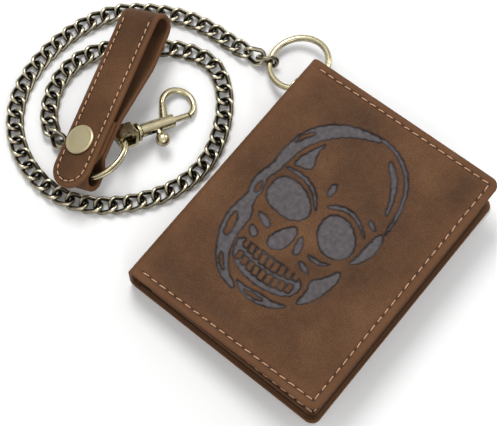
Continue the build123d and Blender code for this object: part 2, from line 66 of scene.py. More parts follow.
# side views: distance between points, round an arc and along a sheet that carries detail
FINE_STEP = 0.4

# how far into the leather's texture its underside lies
UNDERSIDE_SHIFT = 40

# wallet
FREE_EDGE = 47.5
HALF_HEIGHT = 60.0
FOLD = np.array([-46.6, 15.6])
FRONT_LENGTH = FREE_EDGE - FOLD[0]
FRONT_LIFT = 5.5
LEATHER = 1.8
CORNER_RADIUS = 4.0
BACK_BEND = 2.6
FRONT_BEND = 2.5
SEAM_Z = 13.0  # where the cover's two sheets meet on the spine
EYELET = (-46.6, 46.49, 9.015)
EYELET_HOLE = 3.78

# stitching
STITCH_PITCH = 4.3
STITCH_LENGTH = 3.1
STITCH_INSET = 3.35
STITCH_WIDTH = 0.52
SEAM_START = 4.0
POCKET_STITCH_WIDTH = 0.7
POCKET_STITCH_INSET = 0.35
STRAP_STITCH_PITCH = 3.2
STRAP_STITCH_LENGTH = 2.3
STRAP_STITCH_INSET = 2.6
GROOVE_DEPTH = 0.16
GROOVE_WIDTH = 0.75
BACK_GROOVE_DEPTH = 0.22
STRAP_GROOVE_WIDTH = 0.7
HOLE_DEPTH = 0.35
STRAP_HOLE_DEPTH = 0.3
HOLE_WIDTH = 0.42

# skull pressed into the front
SKULL_X = -3.0
SKULL_Y = 4.0
SKULL_TILT = 8.0
SKULL_REACH = (36, 48)  # half width and half height that the artwork lies within
PRESS_DEPTH = 0.42
OUTLINE_DEPTH = 0.15

# strap, in its own frame
STRAP_ORIGIN = (-92.0, -41.7, 15.6)
STRAP_ANGLES = (17.0, 5.0, 26.0)
STRAP_WIDTH = 18.6
STRAP_THICKNESS = 2.2
STRAP_TIP = -7.5
STRAP_FLAT_END = 70.0
STRAP_LOOP_Z = -9.4
STRAP_LOOP_RADIUS = (STRAP_THICKNESS / 2 - STRAP_LOOP_Z) / 2 - 0.05
STRAP_CREST = (STRAP_FLAT_END + STRAP_LOOP_RADIUS, (STRAP_THICKNESS / 2 + STRAP_LOOP_Z) / 2)
STRAP_BEND_Y = 69.0
STRAP_BEND_REACH = 2.5

# back layer of the strap: the levels of its runs, and how far up the strap each one starts or ends
BACK_Z = -3.85
TAB_FOLD_Z = -10.2
TAB_Z = -1.45
LOOP_START = 54.0
BACK_END = 27.0
BACK_START = 10.0
TAB_FOLD_START = 5.4
TAB_FOLD_END = 1.0
TAB_END = 25.0
TAB_FOLD_RADIUS = (TAB_Z - TAB_FOLD_Z) / 2 - 0.05
LOOP_BEND = 20
TAB_BEND = 1.8
TONGUE_WIDTH = 14.0
TONGUE_END = 5.0
TONGUE_START = 10.5

# snap, in the strap's frame
SNAP_X = -1.2
SNAP_Y = 13.2

# spring in the hook
SPRING_TURNS = 4
SPRING_RADIUS = 1.17
SPRING_WIRE = 0.34

# split ring, in the strap's frame
SPLIT_RADIUS = 13.1
SPLIT_WIRE = 1.8
SPLIT_SPACING = 1.5
SPLIT_DIP = 12.0
SPLIT_REST = (0.3, 0.2, -5.4)
SPLIT_START = 200.0
SPLIT_GAP = 7.0

# chain link
LINK_LENGTH = 8.3
LINK_HALF_WIDTH = 2.9
LINK_TWIST = 38.0
LINK_CORNER = 2.4
LINK_WIRE = 1.9


# ---- frames


def unit(v):
    """A direction made one long."""
    return np.array(v, float) / np.linalg.norm(v)


def strap_frame():
    """Origin and x, y, z directions of the belt strap."""
    heading, pitch, lean = (radians(a) for a in STRAP_ANGLES)
    along = np.array([-sin(heading) * cos(pitch), cos(heading) * cos(pitch), sin(pitch)])
    flat_across = np.array([cos(heading), sin(heading), 0])
    flat_normal = np.cross(flat_across, along)
    across = flat_across * cos(lean) + flat_normal * sin(lean)
    return np.array(STRAP_ORIGIN), across, along, np.cross(across, along)


def split_ring_frame():
    """Centre and x, y, z directions of the split ring, which lies tipped in the strap's fold."""
    origin, x, y, z = strap_frame()
    dip = radians(SPLIT_DIP)
    along = y * cos(dip) - z * sin(dip)
    bottom = origin + SPLIT_REST[0] * x + SPLIT_REST[1] * y + SPLIT_REST[2] * z
    return bottom + SPLIT_RADIUS * along, x, along, np.cross(x, along)


def front_frame():
    """Frame of the front half: x from the fold, y up the wallet, z out of its face."""
    lift = radians(FRONT_LIFT)
    away, out = np.array([cos(lift), 0, sin(lift)]), np.array([-sin(lift), 0, cos(lift)])
    return np.array([FOLD[0], 0, FOLD[1]]), away, np.array([0, 1, 0]), out


ROW_FRAME = (np.zeros(3), *np.eye(3))


def placed(points, where):
    """Points in a local frame as points in the row frame."""
    origin, x, y, z = where
    points = np.asarray(points, float)
    return origin + points[..., :1] * x + points[..., 1:2] * y + points[..., 2:3] * z


def node_points(node):
    """A CAD node's points in millimetres."""
    mesh = frame["nodes"][node].data
    co = np.empty(len(mesh.vertices) * 3)
    mesh.vertices.foreach_get("co", co)
    return co.reshape(-1, 3) / MM


def local_box(node, where):
    """Lowest and highest corner of a CAD node in a local frame, in millimetres."""
    rel = node_points(node) - where[0]
    local = np.stack([rel @ axis for axis in where[1:]], axis=1)
    return local.min(0), local.max(0)


# ---- materials


class Shader:
    """A material or a world being built. Most methods add one node and return its output."""

    def __init__(self, name, kind=bpy.data.materials, surface="Principled BSDF"):
        self.made = kind.new(name)
        self.made.use_nodes = True
        self.tree = self.made.node_tree
        self.surface = self.tree.nodes[surface]

    def node(self, kind, inputs=(), **settings):
        made = self.tree.nodes.new(kind)
        for key, value in settings.items():
            setattr(made, key, value)
        for key, value in dict(inputs).items():
            self.put(made.inputs[key], value)
        return made

    def put(self, socket, value):
        if isinstance(value, bpy.types.NodeSocket):
            self.tree.links.new(value, socket)
        else:
            socket.default_value = value

    def set(self, **values):
        for key, value in values.items():
            self.put(self.surface.inputs[key.replace("_", " ")], value)

    def place(self, attribute=None):
        """Texture coordinates: a stored rest position, or the object's own coordinates."""
        if attribute:
            return self.node("ShaderNodeAttribute", attribute_name=attribute).outputs["Vector"]
        return self.node("ShaderNodeTexCoord").outputs["Object"]

    def attribute(self, name):
        return self.node("ShaderNodeAttribute", attribute_name=name).outputs["Fac"]

    def noise(self, place, scale, detail=4.0, roughness=0.55):
        inputs = {"Vector": place, "Scale": scale, "Detail": detail, "Roughness": roughness}
        return self.node("ShaderNodeTexNoise", inputs).outputs["Fac"]

    def cells(self, place, scale):
        inputs = {"Vector": place, "Scale": scale}
        return self.node("ShaderNodeTexVoronoi", inputs, feature="DISTANCE_TO_EDGE").outputs["Distance"]

    def ramp(self, value, *stops):
        made = self.node("ShaderNodeValToRGB", {"Fac": value})
        ends = made.color_ramp.elements
        while len(ends) < len(stops):
            ends.new(0.5)
        for end, (position, colour) in zip(ends, stops):
            end.position = position
            end.color = (*colour, 1) if isinstance(colour, tuple) else (colour, colour, colour, 1)
        return made.outputs["Color"]

    def mottle(self, place, scale, low, high, *noise):
        """Values or colours that vary from low to high with the noise."""
        return self.ramp(self.noise(place, scale, *noise), (0.3, low), (0.7, high))

    def height(self, place):
        return self.node("ShaderNodeSeparateXYZ", {"Vector": place}).outputs["Z"]

    def mix(self, share, a, b, blend="MIX"):
        made = self.node("ShaderNodeMix", data_type="RGBA", blend_type=blend)
        for index, value in ((0, share), (6, a), (7, b)):
            self.put(made.inputs[index], (*value, 1) if isinstance(value, tuple) else value)
        return made.outputs[2]

    def math(self, operation, a, b):
        made = self.node("ShaderNodeMath", operation=operation)
        self.put(made.inputs[0], a)
        self.put(made.inputs[1], b)
        return made.outputs[0]

    def bump(self, height, strength, distance):
        inputs = {"Height": height, "Strength": strength, "Distance": distance}
        return self.node("ShaderNodeBump", inputs).outputs["Normal"]


def leather(name, dark, middle, light, edge):
    """Waxed, scuffed leather: cloudy colour, fine nap and pores, polished edges, pressed artwork, and
    near-black lines with painted shade in the stitch holes.
    """
    s = Shader(name)
    place = s.place("flat")
    colour = s.ramp(s.noise(place, 0.032), (0.3, dark), (0.52, middle), (0.75, light))
    nap = s.mottle(place, 1.9, 0.04, 0.95, 6.0, 0.85)
    colour = s.mix(0.95, colour, nap, "OVERLAY")
    scuffs = s.ramp(s.noise(place, 0.35, 8.0, 0.7), (0.6, 0.0), (0.78, 0.35))
    colour = s.mix(scuffs, colour, light)
    colour = s.mix(s.attribute("edge"), colour, edge)
    pressed = s.mottle(place, 0.5, (0.062, 0.056, 0.060), (0.105, 0.097, 0.104))
    colour = s.mix(s.attribute("press"), colour, pressed)
    # near-black: the pressed art's outlines and the seam grooves darkened, and painted shade in the stitch
    # holes
    colour = s.mix(s.attribute("dark_lines_and_hole_shade"), colour, (0.008, 0.006, 0.005))
    grain = s.math("MULTIPLY", s.cells(place, 1.1), 0.6)
    height = s.math("ADD", s.noise(place, 2.6, 5.0, 0.7), grain)
    s.set(Base_Color=colour, Normal=s.bump(height, 0.35, 0.00012))
    s.set(Roughness=s.mottle(place, 0.4, 0.58, 0.8), Specular_IOR_Level=0.2, Sheen_Weight=0.0)
    return s.made


def thread_material():
    s = Shader("waxed_thread")
    place = s.place()
    colour = s.mottle(place, 1500, (0.44, 0.23, 0.125), (0.74, 0.46, 0.29), 3.0)
    inputs = {"Vector": place, "Scale": 1300.0, "Distortion": 3.0}
    wave = s.node("ShaderNodeTexWave", inputs, bands_direction="DIAGONAL")
    s.set(Base_Color=colour, Roughness=0.6, Specular_IOR_Level=0.4)
    s.set(Normal=s.bump(wave.outputs["Fac"], 0.6, 0.00015))
    return s.made


def brass(name, dark, pale, roughness, highlight_attribute=None):
    """Antique brass: a dark patina with a painted highlight, pale where a stored value says, or else on faces
    that look up, while faces that look down keep the patina as painted shade.
    """
    s = Shader(name)
    place = s.place()
    patches = s.noise(place, 150, 4.0, 0.6)
    # painted highlight and shade: the pale share follows a stored highlight, or else how far a face looks up
    if highlight_attribute:
        highlight_share = s.attribute(highlight_attribute)
    else:
        normal = s.node("ShaderNodeTexCoord").outputs["Normal"]
        highlight_share = s.ramp(s.height(normal), (0.0, 0.12), (0.5, 1.0))
    share = s.math("MULTIPLY", highlight_share, s.ramp(patches, (0.25, 0.88), (0.6, 1.0)))
    s.set(Base_Color=s.mix(share, dark, pale), Metallic=1.0)
    rough = s.mottle(place, 700, roughness - 0.05, roughness + 0.05)
    s.set(Roughness=rough, Normal=s.bump(s.noise(place, 1900, 3.0), 0.06, 0.00001))
    return s.made


def steel_material():
    s = Shader("spring_steel")
    colour = s.mottle(s.place(), 900, (0.32, 0.32, 0.34), (0.6, 0.6, 0.62), 3.0)
    s.set(Base_Color=colour, Metallic=1.0, Roughness=0.28)
    return s.made


def plastic_material():
    s = Shader("clear_plastic")
    place = s.place("flat")
    s.set(Base_Color=s.mottle(place, 0.3, (0.70, 0.70, 0.67), (0.76, 0.76, 0.73), 5.0), Alpha=0.35)
    s.set(Roughness=s.mottle(place, 0.3, 0.08, 0.22, 5.0), IOR=1.46)
    return s.made


def floor_material():
    s = Shader("pale_floor")
    tone = s.mottle(s.place(), 3.0, (0.9, 0.9, 0.9), (0.93, 0.93, 0.925), 3.0)
    s.set(Base_Color=tone, Roughness=0.85, Specular_IOR_Level=0.1)
    return s.made


BROWN = leather(
    "waxed_leather",
    dark=(0.058, 0.0262, 0.0108), middle=(0.094, 0.0410, 0.0162),
    light=(0.136, 0.064, 0.0262), edge=(0.152, 0.065, 0.0262),
)
# Lining and pocket leather: a darker brown of its own, made darker still as painted shade for the gap between
# the covers; its edges stay a burnished brown.
SHADED_INNER_BROWN = leather(
    "inner_leather_painted_shade",
    dark=(0.022, 0.010, 0.006), middle=(0.036, 0.017, 0.009),
    light=(0.055, 0.026, 0.013), edge=(0.140, 0.064, 0.028),
)
THREAD = thread_material()
# All three brasses carry a painted highlight: pale on faces that look up, or on the chain links' crests.
BRASS = brass("antique_brass", (0.075, 0.062, 0.036), (0.66, 0.585, 0.375), 0.25)
LINK_BRASS = brass("chain_brass", (0.045, 0.038, 0.025), (0.84, 0.75, 0.53), 0.25, "crest_highlight")
CAP_BRASS = brass("satin_brass", (0.44, 0.375, 0.22), (0.62, 0.54, 0.33), 0.42)
STEEL = steel_material()
PLASTIC = plastic_material()


# ---- mesh tools


def mesh_object(name, points, faces, material, attributes=None, merge=False):
    """A smooth-shaded mesh object from millimetre points, with named values stored on its points."""
    mesh = bpy.data.meshes.new(name)
    mesh.from_pydata((np.asarray(points) * MM).tolist(), [], faces)
    for key, values in (attributes or {}).items():
        values = np.asarray(values, np.float32)
        vector = values.ndim == 2
        stored = mesh.attributes.new(key, "FLOAT_VECTOR" if vector else "FLOAT", "POINT")
        stored.data.foreach_set("vector" if vector else "value", values.ravel())
    if merge:
        build = bmesh.new()
        build.from_mesh(mesh)
        bmesh.ops.remove_doubles(build, verts=build.verts, dist=2e-6)
        bmesh.ops.dissolve_degenerate(build, edges=build.edges, dist=1e-6)
        build.to_mesh(mesh)
        build.free()
    mesh.shade_smooth()
    mesh.materials.append(material)
    made = bpy.data.objects.new(name, mesh)
    bpy.context.scene.collection.objects.link(made)
    return made


def grid_faces(rows, columns, first=0, flip=False, wrap_rows=False, wrap_columns=False):
    """Quads of a rows by columns grid of points."""
    faces = []
    for i in range(rows if wrap_rows else rows - 1):
        for j in range(columns if wrap_columns else columns - 1):
            a = first + i * columns + j
            b = first + ((i + 1) % rows) * columns + j
            c = first + ((i + 1) % rows) * columns + (j + 1) % columns
            d = first + i * columns + (j + 1) % columns
            faces.append((a, d, c, b) if flip else (a, b, c, d))
    return faces


def samples(length, step, fine_start=True, fine_end=True):
    """Distances along a length, closer together near an end whose edge is rounded."""
    near = np.array([0.0, 0.04, 0.14, 0.3, 0.5, 0.75, 1.05])
    low = near if fine_start else near[:1]
    high = length - (near if fine_end else near[:1])[::-1]
    count = max(int((high[0] - low[-1]) / step), 1)
    middle = np.linspace(low[-1], high[0], count + 1)[1:-1]
    return np.concatenate([low, middle, high])


def corner_arc(before, corner, after, radius, count=None):
    """Points of the arc that rounds a corner, with count steps or else as many as its size asks for."""
    a, b = unit(before - corner), unit(after - corner)
    half = np.arccos(np.clip(a @ b, -1, 1)) / 2
    reach = radius / tan(half)
    centre = corner + unit(a + b) * radius / sin(half)
    start, end = corner + a * reach - centre, corner + b * reach - centre
    turn = pi - 2 * half
    count = count or max(int(turn * radius / FINE_STEP), int(turn / radians(9)), 1)
    share = np.arange(count + 1)[:, None] / count
    return centre + (np.sin((1 - share) * turn) * start + np.sin(share * turn) * end) / sin(turn)


def rounded_line(corners, radii):
    """Points of a side view whose corners are rounded with arcs, and their distances along it."""
    corners = [np.array(c, float) for c in corners]
    arcs = [corner_arc(*some) for some in zip(corners, corners[1:], corners[2:], radii)]
    points = np.concatenate([corners[:1], *arcs, corners[-1:]])
    lengths = np.concatenate([[0], np.cumsum(np.linalg.norm(np.diff(points, axis=0), axis=1))])
    keep = np.concatenate([[True], np.diff(lengths) > 1e-4])
    return points[keep], lengths[keep]


def resampled(points, lengths, at):
    """The side view's points and left normals at given distances along it."""

    def place(distances):
        return np.stack([np.interp(distances, lengths, points[:, k]) for k in (0, 1)], axis=1)

    run = place(at + 0.05) - place(at - 0.05)
    run /= np.linalg.norm(run, axis=1)[:, None]
    return place(at), np.stack([-run[:, 1], run[:, 0]], axis=1)


def bell(x, width):
    """1 where x is 0, fading to nothing on both sides of it."""
    return np.exp(-((x / width) ** 2))


def edge_round(distance, half):
    """Half thickness of leather at a distance from its edge, which is burnished round."""
    reach = 0.8 * half
    share = 1 - np.clip(distance, 0, reach) / reach
    return half * (1 - share**2.4) ** (1 / 2.4)


def strip(name, where, side, at, across, limits, distance, half, material, relief=None, caps=(False, False)):
    """Leather with round edges that follows a side view (x and z of a frame) and is wide along the frame's y.

    at are the distances along the side view, across the shares of the width, limits the width's two ends at
    each distance, and distance gives how far a point is from the nearest cut edge.
    """
    place, normal = resampled(*side, at)
    low, high = limits(at)
    s = np.repeat(at[:, None], len(across), axis=1)
    c = low[:, None] + across[None, :] * (high - low)[:, None]
    d = np.maximum(distance(s, c), 0)
    h = edge_round(d, half)
    raised, values = relief(s, c, d) if relief else (0.0, {})
    shape = (len(at), len(across))
    layers = []
    for offset in (h + raised, -h):
        u = place[:, :1] + normal[:, :1] * offset
        w = place[:, 1:] + normal[:, 1:] * offset
        layers.append(np.stack([u, c, w], axis=-1).reshape(-1, 3))
    count = shape[0] * shape[1]
    faces = grid_faces(*shape) + grid_faces(*shape, first=count, flip=True)
    for end, row in zip(caps, (0, shape[0] - 1)):
        if end:
            line = range(row * shape[1], (row + 1) * shape[1] - 1)
            faces += [(a, a + 1, a + 1 + count, a + count) for a in line]
    flat = np.stack([s, c, np.zeros(shape)], axis=-1).reshape(-1, 3)
    both = {"flat": np.concatenate([flat, flat + (0, 0, UNDERSIDE_SHIFT)])}
    rim = bell(d, 0.9) * 0.7
    for key in ("press", "dark_lines_and_hole_shade"):
        top = values.get(key, np.zeros(shape)).ravel()
        both[key] = np.concatenate([top, np.zeros(count)])
    both["edge"] = np.concatenate([np.maximum(rim, values.get("edge", 0 * rim)).ravel(), rim.ravel()])
    made = mesh_object(name, placed(np.concatenate(layers), where), faces, material, both, merge=True)
    recalculate(made)
    return made


def recalculate(piece):
    """Makes every face of a closed mesh look outward."""
    build = bmesh.new()
    build.from_mesh(piece.data)
    bmesh.ops.recalc_face_normals(build, faces=build.faces)
    build.to_mesh(piece.data)
    build.free()


def end_faces(rows, sides):
    """Faces that close the two ends of a row of rings."""
    last = (rows - 1) * sides
    return [tuple(range(sides)), tuple(last + k for k in reversed(range(sides)))]


def tube(points, radii, sides, out, closed=False):
    """Points and faces of a bar along a path.

    radii is one radius, or for each point its radius along out and its radius square to out. out gives each
    point a direction away from the path.
    """
    wide, tall = np.broadcast_to(np.asarray(radii, float).T, (2, len(points)))
    ahead = np.roll(points, -1, axis=0) - np.roll(points, 1, axis=0)
    if not closed:
        ahead[0] = points[1] - points[0]
        ahead[-1] = points[-1] - points[-2]
    ahead /= np.linalg.norm(ahead, axis=1)[:, None]
    normal = out - (out * ahead).sum(1)[:, None] * ahead
    normal /= np.linalg.norm(normal, axis=1)[:, None]
    side = np.cross(ahead, normal)
    angle = np.linspace(0, 2 * pi, sides, endpoint=False)
    ring = (
        points[:, None, :]
        + normal[:, None, :] * (np.cos(angle) * wide[:, None])[..., None]
        + side[:, None, :] * (np.sin(angle) * tall[:, None])[..., None]
    )
    faces = grid_faces(len(points), sides, wrap_rows=closed, wrap_columns=True)
    if not closed:
        faces += end_faces(len(points), sides)
    return ring.reshape(-1, 3), faces


def joined(parts):
    """Several (points, faces) pairs as one."""
    points, faces, first = [], [], 0
    for some, quads in parts:
        points.append(some)
        faces += [tuple(first + k for k in quad) for quad in quads]
        first += len(some)
    return np.concatenate(points), faces


def lathe(profile, sides=72):
    """A turned shape about z from (radius, height) pairs, closed at both ends of the profile."""
    angle = np.linspace(0, 2 * pi, sides, endpoint=False)
    points = [(r * cos(a), r * sin(a), h) for r, h in profile for a in angle]
    faces = grid_faces(len(profile), sides, wrap_columns=True)
    return np.array(points), faces + end_faces(len(profile), sides)


# ---- skull artwork

# Outlines in millimetres about the skull's centre, y up. It looks down to the left.
SIDE_SHADE = [
    (7, 43), (-6, 42), (-16, 37.5), (-23, 29.5), (-26, 20), (-26.5, 11), (-29, 6), (-30, 0), (-28.5, -5),
    (-31, -12), (-31.5, -20), (-29, -28), (-26, -34), (-21, -40), (-13, -43.4), (-12, -41), (-17, -38),
    (-20.5, -33), (-22.5, -27), (-22.6, -20), (-21.5, -13), (-24.5, -7), (-23.5, -1), (-25, 5), (-22.5, 9),
    (-21, 16), (-18.5, 24), (-13, 31), (-5, 36.5), (2, 39), (8, 40.4),
]
HEAD_RIM = [
    (5, 43.2), (14, 41.4), (22, 36.2), (27.6, 27.6), (29.8, 16), (29, 6), (27.8, 6), (28, 16), (26, 26.6),
    (21, 34.4), (13.4, 39.7), (6, 41.4),
]
GLEAM = [(15, 36), (20.5, 31), (24.2, 23), (25.6, 13), (24, 13.6), (22.2, 21.5), (18.6, 28.4), (14.4, 33.4)]
TEMPLES = (
    [(-11, 31), (-12.6, 24), (-10.4, 17), (-14, 15.4), (-19.4, 15), (-17.6, 21)],
    [(27, 7), (29.6, 3), (29, -4), (25.6, -10), (21.6, -12), (23.6, -6), (24.4, 0)],
    [(20.5, 9.5), (25, 6), (23, 5.2), (19.4, 7.6)],
)
SOCKETS = (
    [
        (-20.6, 9), (-13, 9.6), (-6.4, 6.6), (-1.6, 0.6), (-2.6, -4.4), (-8, -7.2), (-15, -6.2), (-21, -4),
        (-23, 2),
    ],
    [
        (4.2, 2.6), (9, 5.2), (15.4, 3.6), (20.4, -2), (21.4, -8), (18, -12.6), (11.6, -13.4), (6.6, -10),
        (3.4, -4),
    ],
)
BROWS = (
    [
        (-22.6, 12.6), (-16, 13.8), (-8.4, 12.2), (-3, 7.4), (-0.2, 2), (-1.4, 1.6), (-5, 7), (-10, 10.6),
        (-17, 11.8),
    ],
    [
        (1.4, 5.4), (5, 8.2), (10.6, 9.4), (17, 7.2), (22.6, 1), (21.6, 0.4), (16.4, 5.4), (10, 7.4),
        (4.6, 5.4),
    ],
    [(-1.6, 13.6), (0.4, 8.2), (2.4, 12.4), (1.2, 17)],
)
NOSE = (
    [(-4.6, -7.6), (-2, -9), (-1.9, -14), (-3.8, -19.6), (-9, -21.4), (-12, -18.6), (-9.6, -12.6)],
    [(-0.3, -9.4), (2.4, -13), (3.4, -17.6), (0.8, -19.4), (-0.8, -15)],
)
CHEEKS = (
    [(-21, -8.6), (-15.6, -10), (-12.6, -12.4), (-14, -14.4), (-18.6, -12.4)],
    [(-20.4, -15.4), (-17, -16), (-15.2, -19), (-17.6, -20.4), (-20.2, -18.4)],
    [(6, -15.4), (12, -16.4), (17.4, -14.6), (12.6, -18.2), (7, -17.6)],
    [(4.6, -19.4), (8, -20.2), (11, -23.6), (8.4, -23.4), (5, -21.6)],
    [
        (20.6, -15), (22.6, -19), (20.6, -27), (15.6, -35), (11.6, -36.6), (13.4, -30), (12, -24.6),
        (16.4, -22),
    ],
)
CHIN = [(-14.6, -38), (-8, -39.6), (-2, -39), (4, -39.8), (10.6, -38.4), (7, -42), (-1, -44), (-9, -43)]
PRESSED = (SIDE_SHADE, HEAD_RIM, GLEAM, *TEMPLES, *SOCKETS, *BROWS, *NOSE, *CHEEKS, CHIN)
RAISED = (
    [(-28.6, -13), (-26, -17), (-25.6, -24), (-27.8, -25), (-29.4, -19)],
    [(-25.8, 3.4), (-24.8, -1), (-26.2, -3.6), (-27.6, 0)],
    [(-23.4, 23), (-20.8, 27.4), (-17.4, 31), (-19, 31.6), (-22.4, 28)],
    [(-9.6, -41.2), (-4.4, -40.4), (1.4, -41.4), (-4, -42.4)],
    [(-24.6, -31), (-21, -36), (-19.6, -37.6), (-21.4, -37.4), (-24.8, -33.6)],
)
MOUTH = [
    (-21.6, -21.4), (-14, -22.8), (-6, -23.6), (2, -24.8), (9.6, -26.6), (11.4, -31), (8, -36), (0, -37.4),
    (-8, -37), (-16, -34.4), (-21.6, -29),
]
MOUTH_X = -5.4
MOUTH_SLOPE = -0.11
TOOTH_PITCH = 3.1
TOOTH_COUNT = 9
TOOTH_ROWS = ((-26.7, 2.2), (-32.4, 2.1))
TOOTH_HALF_WIDTH = 0.72
TOOTH_CORNER = 0.5


def smoothed(outline):
    """An outline with its corners cut off, a quarter of the way along each side."""
    points = np.array(outline, float)
    following = np.roll(points, -1, axis=0)
    cuts = [0.75 * points + 0.25 * following, 0.25 * points + 0.75 * following]
    return np.stack(cuts, axis=1).reshape(-1, 2)


def outline_distance(x, y, outline):
    """Signed distance from every point to a closed outline, negative inside."""
    nearest = np.full(x.shape, 1e9)
    inside = np.zeros(x.shape, bool)
    for (ax, ay), (bx, by) in zip(outline, np.roll(outline, -1, axis=0)):
        ex, ey = bx - ax, by - ay
        share = np.clip(((x - ax) * ex + (y - ay) * ey) / (ex * ex + ey * ey), 0, 1)
        nearest = np.minimum(nearest, np.hypot(x - ax - share * ex, y - ay - share * ey))
        if abs(ey) > 1e-9:
            inside ^= ((ay > y) != (by > y)) & (x < ax + (y - ay) * ex / ey)
    return np.where(inside, -nearest, nearest)


def teeth_distance(x, y):
    """Signed distance to the nearest tooth, a rounded block, negative inside it."""
    nearest = np.full(x.shape, 1e9)
    for row, half_height in TOOTH_ROWS:
        for i in range(TOOTH_COUNT):
            offset = (i - (TOOTH_COUNT - 1) / 2) * TOOTH_PITCH
            turned_away = 1 - 0.035 * abs(i - 0.55 * TOOTH_COUNT)
            drop = MOUTH_SLOPE * offset + 0.012 * offset**2
            dx = abs(x - MOUTH_X - offset * 0.98) - TOOTH_HALF_WIDTH * turned_away
            dy = abs(y - row - drop) - half_height * turned_away + TOOTH_CORNER
            block = np.hypot(np.maximum(dx, 0), np.maximum(dy, 0)) + np.minimum(np.maximum(dx, dy), 0)
            nearest = np.minimum(nearest, block - TOOTH_CORNER)
    return nearest


def skull_distance(x, y):
    """Signed distance to the pressed areas of the skull, negative inside them."""
    pressed = np.full(x.shape, 1e9)
    for outline in PRESSED:
        pressed = np.minimum(pressed, outline_distance(x, y, smoothed(outline)))
    for outline in RAISED:
        pressed = np.maximum(pressed, -outline_distance(x, y, smoothed(outline)))
    mouth = outline_distance(x, y, smoothed(MOUTH))
    return np.minimum(pressed, np.maximum(mouth, -teeth_distance(x, y)))


def skull_relief(x, y):
    """Pressed share and dark outline share of the artwork at points of the front cover."""
    turn = radians(SKULL_TILT)
    dx, dy = x - SKULL_X, y - SKULL_Y
    local_x = dx * cos(turn) + dy * sin(turn)
    local_y = -dx * sin(turn) + dy * cos(turn)
    wobble = 0.2 * np.sin(1.5 * local_x + 1.3 * np.sin(0.8 * local_y)) * np.sin(1.3 * local_y + 0.6)
    near = (abs(local_x) <= SKULL_REACH[0]) & (abs(local_y) <= SKULL_REACH[1])
    d = np.full(x.shape, 5.0)
    d[near] = skull_distance(local_x[near], local_y[near]) + wobble[near]
    press = 1 / (1 + np.exp(np.clip(d / 0.09, -40, 40)))
    heavy = 0.8 + 0.3 * np.sin(0.35 * local_x + 0.9) * np.sin(0.3 * local_y + 2.0)
    outline = np.clip(bell(d + 0.18, 0.36) * heavy * 1.25, 0, 1)
    return press, outline


# ---- stitches


def one_stitch(rng, length, width):
    """A stitch lying along x, arched over the leather, its ends sinking into their holes."""
    t = np.linspace(-1, 1, 11)
    reach = length / 2 * (1 + 0.05 * rng.normal())
    lean = 0.07 + 0.03 * rng.normal()
    height = 0.30 * (1 - np.abs(t) ** 3.2) - 0.16 - 0.25 * np.abs(t) ** 9
    points = np.stack([t * reach, t * reach * lean, height], axis=1)
    swell = 1 + 0.07 * np.cos(7 * t + rng.uniform(0, 6))
    radius = width / 2 * swell * (1 - 0.45 * np.abs(t) ** 4)
    out = np.tile([0.0, 0.0, 1.0], (len(t), 1))
    return tube(points, np.stack([radius * 0.82, radius], axis=1), sides=8, out=out)


def stitch_run(name, spots, length, width, body, node):
    """One piece of thread: a stitch at every spot, each given as its middle, direction and outward normal.
    """
    rng = np.random.default_rng(len(spots))
    parts = []
    for middle, along, up in spots:
        points, faces = one_stitch(rng, length, width)
        where = (np.asarray(middle, float), unit(along), np.cross(unit(up), unit(along)), unit(up))
        parts.append((placed(points, where), faces))
    points, faces = joined(parts)
    made = mesh_object(name, points, faces, THREAD)
    if isinstance(body, tuple):
        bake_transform(made)
    else:
        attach(made, body)
    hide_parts(node)


def line_spots(pitch, *corners):
    """Evenly spaced middles of stitches on the straight runs of a flat seam, with their direction."""
    corners = np.array(corners, float)
    spots = []
    for start, end in zip(corners, corners[1:]):
        count = round(np.linalg.norm(end - start) / pitch)
        step = (end - start) / count
        spots += [(start + (i + 0.5) * step, step) for i in range(count)]
    return spots


def seam_spots(seam, where, height):
    """A flat seam's middles and directions, in a frame and at a height in it, as stitch_run takes them."""
    x, y, z = where[1:]
    return [(placed((*middle, height), where), along[0] * x + along[1] * y, z) for middle, along in seam]


def seam_holes(x, y, spots, length):
    """Share of painted shade and depth round the holes at the two ends of every stitch."""
    dark = np.zeros(x.shape)
    for middle, along in spots:
        for sign in (-1, 1):
            hole = middle + sign * unit(along) * length * 0.53
            near = (abs(x - hole[0]) < 1.6) & (abs(y - hole[1]) < 1.6)
            if near.any():
                gap = np.hypot(x[near] - hole[0], y[near] - hole[1])
                dark[near] = np.maximum(dark[near], bell(gap, HOLE_WIDTH))
    return dark


def waves(s, c):
    """Gentle unevenness of soft leather lying over pockets."""
    wave = np.sin(s / 13 + 1.1 * np.sin(c / 21)) * np.sin(c / 17 + 0.7 * np.sin(s / 19))
    return 0.16 * wave + 0.05 * np.sin(s / 4.3 + c / 6.1) * np.sin(c / 5.2)


def faded(distance, reach=4.0):
    """Share of an unevenness that is left near an edge: none at the edge and all of it past the reach."""
    return np.clip(distance / reach, 0, 1) ** 2


# ---- wallet


def corner_cut(along, radius):
    """How far a round corner takes a side in, at distances from the end of the sheet."""
    short = np.clip(radius - along, 0, radius)
    return radius - np.sqrt(np.maximum(radius**2 - short**2, 0))


def cover_limits(length, at_end):
    """Width of a cover sheet at each distance, its two corners rounded at one end."""

    def limits(at):
        cut = corner_cut(length - at if at_end else at, CORNER_RADIUS)
        return -HALF_HEIGHT + cut, HALF_HEIGHT - cut

    return limits


def cover_distance(length, at_end):
    """Distance to the top, bottom and free edges of a cover sheet with two rounded corners."""

    def distance(s, c):
        along = (length - s) if at_end else s
        top = HALF_HEIGHT - abs(c)
        corner = CORNER_RADIUS - np.hypot(CORNER_RADIUS - along, CORNER_RADIUS - top)
        inside_corner = (along < CORNER_RADIUS) & (top < CORNER_RADIUS)
        return np.where(inside_corner, corner, np.minimum(along, top))

    return distance


